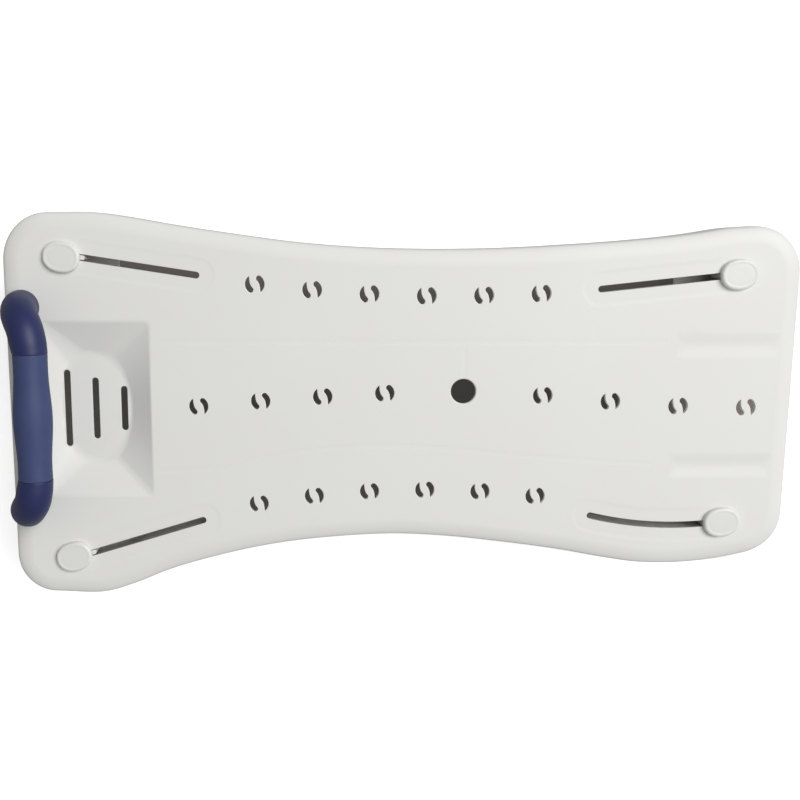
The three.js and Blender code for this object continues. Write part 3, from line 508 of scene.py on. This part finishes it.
def block(name, outline, bottom, rim, lift=0):
    """An upright block whose upper rim follows places of (inset, height)."""
    obj = face_from(name, outline, bottom)
    edit(obj)
    extrude(rim[0][1] + lift - bottom)
    for (inset, height), (next_inset, next_height) in zip(rim, rim[1:]):
        bpy.ops.mesh.inset(thickness=(next_inset - inset) * MM)
        bpy.ops.transform.translate(value=(0, 0, (next_height - height) * MM))
    leave_edit()
    tidy_normals(obj, 0.000001)
    return obj


def cutter(name, rings):
    """A closed cutter through outlines at rising levels, each with the same count of points."""
    count = len(rings[0][0])
    places = [at(p.x, p.y, z) for outline, z in rings for p in outline]
    faces = [tuple(reversed(range(count)))]
    for start in range(0, (len(rings) - 1) * count, count):
        for i in range(count):
            j = (i + 1) % count
            faces.append((start + i, start + j, start + count + j, start + count + i))
    faces.append(tuple(range((len(rings) - 1) * count, len(rings) * count)))
    mesh = bpy.data.meshes.new(name)
    mesh.from_pydata(places, [], faces)
    return new_object(name, mesh)


def drain_cutter(outline):
    """A cutter that leaves a small rounded rim at the seat's surface."""
    rings = [(outline, -SKIN - OVERCUT)]
    for i in range(5):
        turn = math.pi / 2 * i / 4
        rings.append((grow(outline, DRAIN_EDGE * (1 - math.cos(turn))),
                      -DRAIN_EDGE + DRAIN_EDGE * math.sin(turn)))
    rings.append((grow(outline, DRAIN_EDGE), OVERCUT))
    return cutter("comma", rings)


def join(objects, name):
    deselect()
    for obj in objects:
        obj.select_set(True)
    bpy.context.view_layer.objects.active = objects[0]
    bpy.ops.object.join()
    objects[0].name = name
    return objects[0]


def combine(target, tool, operation):
    """Cuts the tool out of the target, or adds it, or keeps what lies in both."""
    modifier = target.modifiers.new("cut", "BOOLEAN")
    modifier.operation = operation
    modifier.solver = "EXACT"
    modifier.object = tool
    apply(target, modifier)
    if not target.data.polygons:
        raise RuntimeError("nothing is left of " + target.name + " after " + tool.name)
    bpy.data.objects.remove(tool)


def copy_of(node, name):
    """A merged copy of a CAD node's mesh, in the shared frame."""
    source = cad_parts[node]
    obj = new_object(name, source.data.copy())
    obj.data.transform(source.matrix_world)
    tidy_normals(obj)
    return obj


def tube(name, path, radius):
    """A closed tube along a path of (place, share of the radius)."""
    obj = wire(name, [at(*place) for place, _ in path])
    obj.data.bevel_depth = radius * MM
    obj.data.bevel_resolution = TUBE_SIDES
    obj.data.use_fill_caps = True
    obj.data.twist_mode = "MINIMUM"
    for point, (_, share) in zip(obj.data.splines[0].points, path):
        point.radius = share
    obj = to_mesh(obj)
    tidy_normals(obj)
    return obj


def lathe(name, profile, centre, axis, steps):
    """A profile of (distance along the axis, radius), spun once round."""
    aside = UP if axis.z == 0 else Vector((1, 0, 0))
    places = [centre + (axis * along + aside * radius) * MM for along, radius in profile]
    obj = to_mesh(wire(name, places))
    edit(obj)
    bpy.ops.mesh.spin(steps=steps, angle=FULL_TURN, center=centre, axis=axis)
    leave_edit()
    tidy_normals(obj)
    return obj


def soften(obj, width, segments, angle=30):
    """Rounds every edge over the angle."""
    modifier = obj.modifiers.new("edges", "BEVEL")
    modifier.width = width * MM
    modifier.segments = segments
    modifier.limit_method = "ANGLE"
    modifier.angle_limit = math.radians(angle)
    modifier.use_clamp_overlap = True
    apply(obj, modifier)


def shade(obj, angle):
    """Smooth shading that keeps flat faces flat and edges over the angle sharp."""
    only(obj)
    bpy.ops.object.shade_smooth_by_angle(angle=math.radians(angle))
    modifier = obj.modifiers.new("weighted", "WEIGHTED_NORMAL")
    modifier.keep_sharp = True
    apply(obj, modifier)


def finish_piece(obj, name, body, material, node, angle):
    """Names, shades and paints a piece, and puts it on its body in its node's place."""
    obj.name = name
    shade(obj, angle)
    obj.data.materials.clear()
    obj.data.materials.append(material)
    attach(obj, body)
    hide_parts(node)


# Materials
def linear_channel(value):
    value /= 255
    return value / 12.92 if value <= 0.04045 else ((value + 0.055) / 1.055) ** 2.4


def linear(hex_colour):
    """An sRGB hex colour as the linear values that a shader takes."""
    return [linear_channel(int(hex_colour[i:i + 2], 16)) for i in (1, 3, 5)] + [1.0]


def add_node(tree, kind, settings=None, inputs=None, links=None):
    """One shader node, with its settings, its socket values and the sockets that feed it."""
    node = tree.nodes.new(kind)
    for name, value in (settings or {}).items():
        setattr(node, name, value)
    for name, value in (inputs or {}).items():
        node.inputs[name].default_value = value
    for name, source in (links or {}).items():
        tree.links.new(source, node.inputs[name])
    return node


def moulded(name, colour, tint, roughness, grain, depth, blotch,
            metallic=0, stretch=(1, 1, 1), specular=0.5):
    """A surface with grain of that size and depth, and slow changes over the blotch size."""
    material = bpy.data.materials.new(name)
    material.use_nodes = True
    tree = material.node_tree
    shader = tree.nodes["Principled BSDF"]
    shader.inputs["Metallic"].default_value = metallic
    shader.inputs["Specular IOR Level"].default_value = specular
    place = add_node(tree, "ShaderNodeTexCoord").outputs["Object"]
    stretched = add_node(tree, "ShaderNodeMapping", inputs={"Scale": stretch},
                         links={"Vector": place})
    fine = add_node(tree, "ShaderNodeTexNoise", inputs={"Scale": 1 / (grain * MM), "Detail": 3},
                    links={"Vector": stretched.outputs[0]})
    slow = add_node(tree, "ShaderNodeTexNoise", inputs={"Scale": 1 / (blotch * MM), "Detail": 2},
                    links={"Vector": place})
    mix = add_node(tree, "ShaderNodeMix", {"data_type": "RGBA"},
                   links={"Factor": slow.outputs["Fac"]})
    mix.inputs["A"].default_value = linear(colour)
    mix.inputs["B"].default_value = linear(tint)
    tree.links.new(mix.outputs["Result"], shader.inputs["Base Color"])
    gloss = add_node(tree, "ShaderNodeMapRange", inputs={
        "From Min": 0.3, "From Max": 0.7, "To Min": roughness * 0.88, "To Max": roughness * 1.12,
    }, links={"Value": fine.outputs["Fac"]})
    tree.links.new(gloss.outputs["Result"], shader.inputs["Roughness"])
    bump = add_node(tree, "ShaderNodeBump", inputs={"Distance": depth * MM, "Strength": 1},
                    links={"Height": fine.outputs["Fac"]})
    tree.links.new(bump.outputs["Normal"], shader.inputs["Normal"])
    return material


# Fine pebbled grain that dulls the sheen of the seat, and a hardly warmer white in slow clouds
board_plastic = moulded("moulded polypropylene, white", "#e4e4e1", "#e1e0dc", 0.46,
                        grain=0.9, depth=0.012, blotch=120)
# A smoother, slightly creamier white with a soft gloss, so the caps part from the seat
cap_plastic = moulded("moulded ABS, ivory white", "#e2e2de", "#dfdfda", 0.36,
                      grain=0.7, depth=0.006, blotch=40)
# Deep navy with a satin shine and hardly any grain, so it mirrors the light softly
handle_plastic = moulded("moulded ABS, navy", "#1e265a", "#1c234e", 0.5,
                         grain=0.6, depth=0.008, blotch=30)
# Matt slate blue with a fine soft tooth, which blurs the highlight to a broad streak
grip_rubber = moulded("soft grip rubber, slate blue", "#3d4874", "#374167", 0.58,
                      grain=0.5, depth=0.02, blotch=18, specular=0.4)
# Dull grey rubber with a coarser tooth and no highlight
pad_rubber = moulded("matt rubber, dark grey", "#4a4c50", "#3f4144", 0.8,
                     grain=0.6, depth=0.03, blotch=15)
# Turned steel with fine lines round the axis
steel = moulded("stainless steel", "#b8babc", "#a9abae", 0.3,
                grain=0.4, depth=0.004, blotch=12, metallic=1, stretch=(0.1, 0.1, 1))
# Blue plastic of the hand wheels, shinier than the grip so that the lobes catch the light
wheel_plastic = moulded("moulded ABS, blue", "#33396b", "#2c3160", 0.38,
                        grain=0.7, depth=0.008, blotch=20)


# Board: a smooth shell, the CAD's ribs below it, and then every hole and hollow cut out
def track_cutters():
    """The head tracks, flutes and sink lines, which are so shallow that their rims are ramps."""
    cutters = []
    for _, bolt, slot_end, bow in STOPS:
        ring = band(slot_line(bolt, slot_end, bow, -4, -2), TRACK_HALF_WIDTH, 24)
        cutters.append(cutter("track", rings_round(ring, TRACK_WALL)))
    for y, deepest in FLUTES:
        rings = []
        for i in range(FLUTE_STEPS + 1):
            depth = deepest * (1 + math.cos(math.pi * i / FLUTE_STEPS)) / 2
            half = FLUTE_HALF_WIDTH * i / FLUTE_STEPS + 0.01
            left, right = FLUTE_START - half, FLUTE_END + half
            rings.append(([Vector((left, y - half)), Vector((right, y - half)),
                           Vector((right, y + half)), Vector((left, y + half))], 0.004 - depth))
        rings.append((rings[-1][0], OVERCUT))
        cutters.append(cutter("flute", rings))
    for points in SINKS:
        places = spline(points, 8, 1)
        steps = zip(places, [*places[1:], 2 * places[-1] - places[-2]])
        line = [(here, (there - here).normalized()) for here, there in steps]
        ring = band(line, SINK_HALF_WIDTH, 8)
        cutters.append(cutter("sink", rings_round(ring, SINK_WALL)))
    return cutters


def screw_hole_cutter(side, bottom, top):
    hole = circle(FOOT_X, handle_y(side, FOOT_HALF_SPACING), SCREW_HOLE_RADIUS, 24)
    return cutter("screw_hole", [(hole, bottom), (hole, top)])


def hole_cutters():
    """Drain pairs, the round hole, the stops' slots, the dish's slots and the screw holes."""
    cutters = []
    for start, pitch, side, reaches in DRAIN_ROWS:
        for i, reach in enumerate(reaches):
            x = 2 * HALF_LENGTH * (start + i * pitch) - HALF_LENGTH
            for turned in (False, True):
                cutters.append(drain_cutter(comma(x, side * reach, turned)))
    cutters.append(cutter("round", rings_round(circle(*ROUND_HOLE, 72), ROUND_WALL)))
    for _, bolt, slot_end, bow in STOPS:
        ring = band(slot_line(bolt, slot_end, bow, -12, -2.8), SLOT_HALF_WIDTH, 12)
        cutters.append(cutter("slot", rings_round(ring, SLOT_WALL)))
    wall = [(growth, height - DISH_DEPTH) for growth, height in DISH_SLOT_WALL]
    for x, length in DISH_SLOTS:
        reach = length / 2 - DISH_SLOT_HALF_WIDTH
        line = [(Vector((x, DISH_SLOT_MIDDLE + reach * share)), Vector((0, 1)))
                for share in (-1, -0.5, 0, 0.5, 1)]
        ring = band(line, DISH_SLOT_HALF_WIDTH, 12)
        cutters.append(cutter("dish_slot", rings_round(ring, wall)))
    for side in (-1, 1):
        cutters.append(screw_hole_cutter(side, -2 * SKIN, OVERCUT))
    return cutters


outline = grow(board_outline(), -EDGE_SETBACK)
shell = block("board_shell", outline, -SKIRT, RIM)
combine(shell, block("hollow", grow(outline, -SKIN), BELOW_ALL, INNER_RIM), "DIFFERENCE")
combine(shell, join(track_cutters(), "tracks"), "DIFFERENCE")

under = copy_of("board", "board_under")
room = block("board_room", grow(outline, -SKIN / 2), BELOW_ALL, INNER_RIM, SKIN / 2)
combine(under, room, "INTERSECT")
combine(shell, under, "UNION")

tray = cutter("tray", dish_rings(SKIN + 0.4, [(0, -DISH_DEPTH - SKIN), (1, -1)]))
combine(shell, tray, "UNION")
combine(shell, cutter("dish", dish_rings(0, dish_wall())), "DIFFERENCE")
combine(shell, join(hole_cutters(), "holes"), "DIFFERENCE")
finish_piece(shell, "seat_board", "board_body", board_plastic, "board", 24)


# Handle: two elbows that end at the seams, a thinner bar inside, and the soft sleeve round it
def elbow(side):
    """A foot and its bend, eased in towards the sleeve's end."""
    seam = GRIP_HALF_LENGTH + SEAM_GAP
    path = spline([
        (FOOT_X, handle_y(side, FOOT_HALF_SPACING), -11),
        (FOOT_X, handle_y(side, FOOT_HALF_SPACING), 8),
        (FOOT_X + 5.9, handle_y(side, FOOT_HALF_SPACING * 0.945), 30),
        (FOOT_X + 13.4, handle_y(side, FOOT_HALF_SPACING * 0.82), 42),
        (GRIP_X, handle_y(side, seam + 1), GRIP_HEIGHT),
        (GRIP_X, handle_y(side, seam + 0.4), GRIP_HEIGHT),
    ], 1.6, 0.5)
    stations = []
    for p in path:
        near = max(0, 1 - (abs(p[1] + HANDLE_MIDDLE) - seam) / EASE_LENGTH)
        stations.append((p, 1 - EASE_SHARE * near * near * (3 - 2 * near)))
    stations.append(((GRIP_X, handle_y(side, seam), GRIP_HEIGHT), 0.945))
    return tube("elbow", stations, TUBE_RADIUS)


handle = join([elbow(side) for side in (-1, 1)], "handle_tubes")
seat_room = block("seat_room", grow(outline, 0.3), BELOW_ALL, RIM, 0.3)
combine(handle, seat_room, "DIFFERENCE")
for side in (-1, 1):
    combine(handle, screw_hole_cutter(side, -OVERCUT, 16.3), "DIFFERENCE")
bar_path = [((GRIP_X, y - HANDLE_MIDDLE, GRIP_HEIGHT), 1) for y in (-61.6, -30, 0, 30, 61.6)]
combine(handle, tube("bar", bar_path, BAR_RADIUS), "UNION")
finish_piece(handle, "grab_handle", "board_body", handle_plastic,
             "handle_core", 40)

# The sleeve swells in the middle and flares a little at its rounded ends
profile = [(-GRIP_HALF_LENGTH, 11.8), (-GRIP_HALF_LENGTH, 14), (0.15 - GRIP_HALF_LENGTH, 14.25),
           (0.5 - GRIP_HALF_LENGTH, 14.4)]
for i in range(1, GRIP_STEPS):
    station = -1 + 2 * i / GRIP_STEPS
    bend = min(abs(station + 0.03) / 0.75, 1) * math.pi / 2
    end = max(abs(station) - 0.85, 0) / 0.15
    profile.append((station * GRIP_HALF_LENGTH,
                    GRIP_RADIUS + GRIP_SWELL * math.cos(bend) ** 2 + GRIP_FLARE * end ** 2))
profile += [(-along, radius) for along, radius in profile[:4][::-1]]
profile.append(profile[0])
grip = lathe("grip", profile, at(GRIP_X, -HANDLE_MIDDLE, GRIP_HEIGHT), Vector((0, 1, 0)), 64)
finish_piece(grip, "grip_sleeve", "board_body", grip_rubber, "handle_grip", 40)


# Stops
def stop_head(place, bolt, slot_end):
    """An oval cap with a rounded rim and a faint step inside it, over a key in the slot."""
    shift, aside = CAP_SHIFT.get(place, (0, 0))
    oval = []
    for i in range(72):
        turn = FULL_TURN * i / 72
        x = math.copysign(abs(math.cos(turn)) ** CAP_FULLNESS, math.cos(turn))
        y = math.copysign(abs(math.sin(turn)) ** CAP_FULLNESS, math.sin(turn))
        oval.append(Vector((CAP_HALF_LENGTH * x + shift, CAP_HALF_WIDTH * y + aside)))
    cap = block("cap", oval, -0.15, CAP_RIM)
    key_outline = [
        Vector((KEY_START, -KEY_HALF_WIDTH)), Vector((KEY_STOP, -KEY_HALF_WIDTH)),
        Vector((KEY_STOP, KEY_HALF_WIDTH)), Vector((KEY_START, KEY_HALF_WIDTH)),
    ]
    key = block("key", key_outline, KEY_BOTTOM, [(0, 0), (0.5, 0.5)])
    soften(key, 0.5, 2)
    combine(cap, key, "UNION")
    if place in CAP_SHIFT:
        line = [(Vector((x, 0)), Vector((1, 0))) for x in KEY_END_MIDDLES]
        key_end = block("key_end", band(line, KEY_END_RADIUS, 10), KEY_BOTTOM + 0.6,
                        [(0, -1.5), (0.3, -1.2)])
        combine(cap, key_end, "UNION")
    socket = circle(0, 0, BOLT_HOLE_RADIUS, 24)
    combine(cap, cutter("socket", [(socket, -31), (socket, 2.5)]), "DIFFERENCE")
    direction = Vector(slot_end) - Vector(bolt)
    turn = math.atan2(direction.y, direction.x)
    centre = at(0, 0, 0)
    centre.z = 0
    cap.data.transform(Matrix.Translation(-centre))
    cap.data.transform(Matrix.Rotation(turn, 4, "Z"))
    cap.data.transform(Matrix.Translation(centre + Vector((bolt[0] * MM, bolt[1] * MM, 0))))
    return cap


def hand_wheel(x, y):
    """A lobed wheel with a short boss, rounded edges and a shallow dish in its lower face."""
    lobes = []
    for i in range(96):
        turn = FULL_TURN * i / 96
        radius = WHEEL_RADIUS + LOBE_RISE * math.cos(LOBES * turn)
        lobes.append(Vector((x + radius * math.cos(turn), y + radius * math.sin(turn))))
    wheel = face_from("wheel", lobes, WHEEL_BOTTOM)
    edit(wheel)
    extrude(WHEEL_HEIGHT)
    leave_edit()
    tidy_normals(wheel)
    soften(wheel, 1.8, 5, 50)
    combine(wheel, lathe("boss", BOSS_PROFILE, at(x, y, 0), UP, 48), "UNION")
    combine(wheel, lathe("cavity", WHEEL_CAVITY, at(x, y, 0), UP, 48), "DIFFERENCE")
    return wheel


def bolt_piece(x, y):
    """A bolt whose lower end carries a cut thread."""
    profile = [(2.2, 0), (2.2, BOLT_RADIUS), (-34, BOLT_RADIUS)]
    for i in range(THREAD_CRESTS):
        top = THREAD_START - i
        profile += [(top, BOLT_RADIUS), (top - 0.15, BOLT_RADIUS),
                    (top - 0.5, THREAD_ROOT), (top - 0.65, THREAD_ROOT)]
    profile += [(-59.8, 2.4), (-60.4, 1.8), (-60.4, 0)]
    return lathe("bolt", profile, at(x, y, 0), UP, 24)


for place, bolt, slot_end, bow in STOPS:
    if bow:
        _, direction = slot_line(bolt, slot_end, bow, 0, 0)[0]
        slot_end = Vector(bolt) + direction * 100
    finish_piece(stop_head(place, bolt, slot_end), "cap_" + place, "stop_carriage_" + place,
                 cap_plastic, "stop_head_" + place, 30)
    bracket_body = "stop_bracket_body_" + place
    bracket = copy_of("stop_bracket_" + place, "bracket")
    soften(bracket, 0.7, 3)
    finish_piece(bracket, "bracket_" + place, bracket_body, board_plastic,
                 "stop_bracket_" + place, 40)
    buffer = copy_of("stop_buffer_" + place, "buffer")
    soften(buffer, 0.5, 3, 25)
    finish_piece(buffer, "buffer_" + place, bracket_body, pad_rubber,
                 "stop_buffer_" + place, 40)

for place, bolt, _, _ in STOPS:
    finish_piece(hand_wheel(*bolt), "wheel_" + place, "stop_wheel_body_" + place,
                 wheel_plastic, "stop_wheel_" + place, 40)
    finish_piece(bolt_piece(*bolt), "bolt_" + place, "stop_carriage_" + place,
                 steel, "stop_bolt_" + place, 30)
    washer = lathe("washer", WASHER_PROFILE, at(*bolt, 0), UP, 48)
    finish_piece(washer, "washer_" + place, "stop_carriage_" + place,
                 steel, "stop_washer_" + place, 30)

# Rim pads and handle screws
for node in [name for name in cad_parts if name.startswith("rim_pad")]:
    pad = copy_of(node, node)
    soften(pad, 0.5, 3, 25)
    finish_piece(pad, "foot_" + node, "board_body", pad_rubber, node, 40)

for side, name in ((-1, "lower"), (1, "upper")):
    x, y = FOOT_X, handle_y(side, FOOT_HALF_SPACING)
    screw = lathe("screw", SCREW_PROFILE, at(x, y, 0), UP, 36)
    hexagon = circle(x, y, 2.1, 6)
    combine(screw, cutter("socket", [(hexagon, -18), (hexagon, -15.6)]), "DIFFERENCE")
    finish_piece(screw, "screw_" + name, "board_body", steel, "handle_screw_" + name, 30)

# The camera looks down on the board from a little above its middle line in the photograph
camera_data = bpy.data.cameras.new("camera")
camera = new_object("camera", camera_data)
camera_data.sensor_width = 36
camera_data.lens = 45
camera_data.shift_x = 0.10625
camera.location = at(-75.6, 151.05, 876.1)
camera.rotation_euler = (-math.radians(9.782), 0, 0)
bpy.context.scene.camera = camera

# Floor: it takes the part's shadow. To the camera it also carries painted shade below the board, a
# flat dark tone in a waisted field given in metres, and it is white away from it.
FIELD_HALF_LENGTH = 0.4
FIELD_HALF_WIDTH, FIELD_FLARE = 0.14, 0.43
FIELD_MIDDLE = (0.01, -0.012)
FIELD_POWER = 6
deselect()
bpy.ops.mesh.primitive_plane_add(size=8)
floor = bpy.context.active_object
floor.name = "floor"
floor_material = bpy.data.materials.new("pale floor, painted shade below the board")
floor_material.use_nodes = True
tree = floor_material.node_tree
shader = tree.nodes["Principled BSDF"]
shader.inputs["Roughness"].default_value = 0.9
rays = add_node(tree, "ShaderNodeLightPath")
tone = add_node(tree, "ShaderNodeMix", {"data_type": "RGBA"},
                links={"Factor": rays.outputs["Is Camera Ray"]})
tone.inputs["A"].default_value = linear("#b0b0ae")
tree.links.new(tone.outputs["Result"], shader.inputs["Base Color"])
place = add_node(tree, "ShaderNodeTexCoord").outputs["Object"]
split = add_node(tree, "ShaderNodeSeparateXYZ", links={"Vector": place})
square = add_node(tree, "ShaderNodeMath", {"operation": "POWER"}, inputs={1: 2},
                  links={0: split.outputs["X"]})
waist = add_node(tree, "ShaderNodeMath", {"operation": "MULTIPLY_ADD"},
                 inputs={1: FIELD_FLARE, 2: FIELD_HALF_WIDTH}, links={0: square.outputs[0]})
shifted = add_node(tree, "ShaderNodeMath", {"operation": "ADD"}, inputs={1: -FIELD_MIDDLE[1]},
                   links={0: split.outputs["Y"]})
away = add_node(tree, "ShaderNodeMath", {"operation": "ABSOLUTE"}, links={0: shifted.outputs[0]})
across = add_node(tree, "ShaderNodeMath", {"operation": "DIVIDE"},
                  links={0: away.outputs[0], 1: waist.outputs[0]})
across = add_node(tree, "ShaderNodeMath", {"operation": "POWER"}, inputs={1: FIELD_POWER},
                  links={0: across.outputs[0]})
length = add_node(tree, "ShaderNodeMath", {"operation": "MULTIPLY_ADD"},
                  inputs={1: 1 / FIELD_HALF_LENGTH, 2: -FIELD_MIDDLE[0] / FIELD_HALF_LENGTH},
                  links={0: split.outputs["X"]})
length = add_node(tree, "ShaderNodeMath", {"operation": "POWER"}, inputs={1: FIELD_POWER},
                  links={0: length.outputs[0]})
beyond = add_node(tree, "ShaderNodeMath", {"operation": "ADD"},
                  links={0: across.outputs[0], 1: length.outputs[0]})
fade = add_node(tree, "ShaderNodeMapRange", {"interpolation_type": "SMOOTHSTEP"}, inputs={
    "From Min": 0.55, "From Max": 0.95, "To Min": 0, "To Max": 1,
}, links={"Value": beyond.outputs[0]})
painted_shade_or_white = add_node(tree, "ShaderNodeMix", {"data_type": "RGBA"},
                links={"Factor": fade.outputs["Result"]})
# The dark tone A is painted shade that stands for the deep shadow under the board; B is the white
# floor
painted_shade_or_white.inputs["A"].default_value = linear("#736b65")
painted_shade_or_white.inputs["B"].default_value = linear("#f6f6f6")
tree.links.new(painted_shade_or_white.outputs["Result"], tone.inputs["B"])
lit = add_node(tree, "ShaderNodeMath", {"operation": "MULTIPLY_ADD"}, inputs={1: 0.6, 2: 0.02},
               links={0: fade.outputs["Result"]})
glow = add_node(tree, "ShaderNodeMath", {"operation": "MULTIPLY"},
                links={0: lit.outputs[0], 1: rays.outputs["Is Camera Ray"]})
shader.inputs["Emission Color"].default_value = (1, 1, 1, 1)
tree.links.new(glow.outputs[0], shader.inputs["Emission Strength"])
floor.data.materials.append(floor_material)

# A plain surround that lights the part dimly from all round and is white to the camera
world = bpy.data.worlds.new("studio")
bpy.context.scene.world = world
world.use_nodes = True
tree = world.node_tree
background = tree.nodes["Background"]
rays = add_node(tree, "ShaderNodeLightPath")
strength = add_node(tree, "ShaderNodeMapRange", inputs={"To Min": 0.31, "To Max": 1},
                    links={"Value": rays.outputs["Is Camera Ray"]})
background.inputs["Color"].default_value = (1, 1, 1, 1)
tree.links.new(strength.outputs["Result"], background.inputs["Strength"])


def hang(light, direction, place=(0, 0, 0)):
    """Puts a light at a place, turned to shine along a direction."""
    lamp = new_object(light.name, light)
    lamp.location = place
    lamp.rotation_euler = Vector(direction).to_track_quat("-Z", "Y").to_euler()


# A large softbox to the right, above the far end
key_light = bpy.data.lights.new("key", "AREA")
key_light.shape = "DISK"
key_light.size = 2.2
key_light.energy = 35
KEY_PLACE = Vector((1.25, 0.65, 2.5))
hang(key_light, Vector((0, 0, 0.1)) - KEY_PLACE, KEY_PLACE)

# A broad soft light from the right, which shapes the dish and doesn't fade along the board
broad = bpy.data.lights.new("broad", "SUN")
broad.energy = 1.28
broad.angle = math.radians(34)
hang(broad, (-0.6, -0.42, -0.8))

bpy.context.scene.view_settings.view_transform = "Standard"
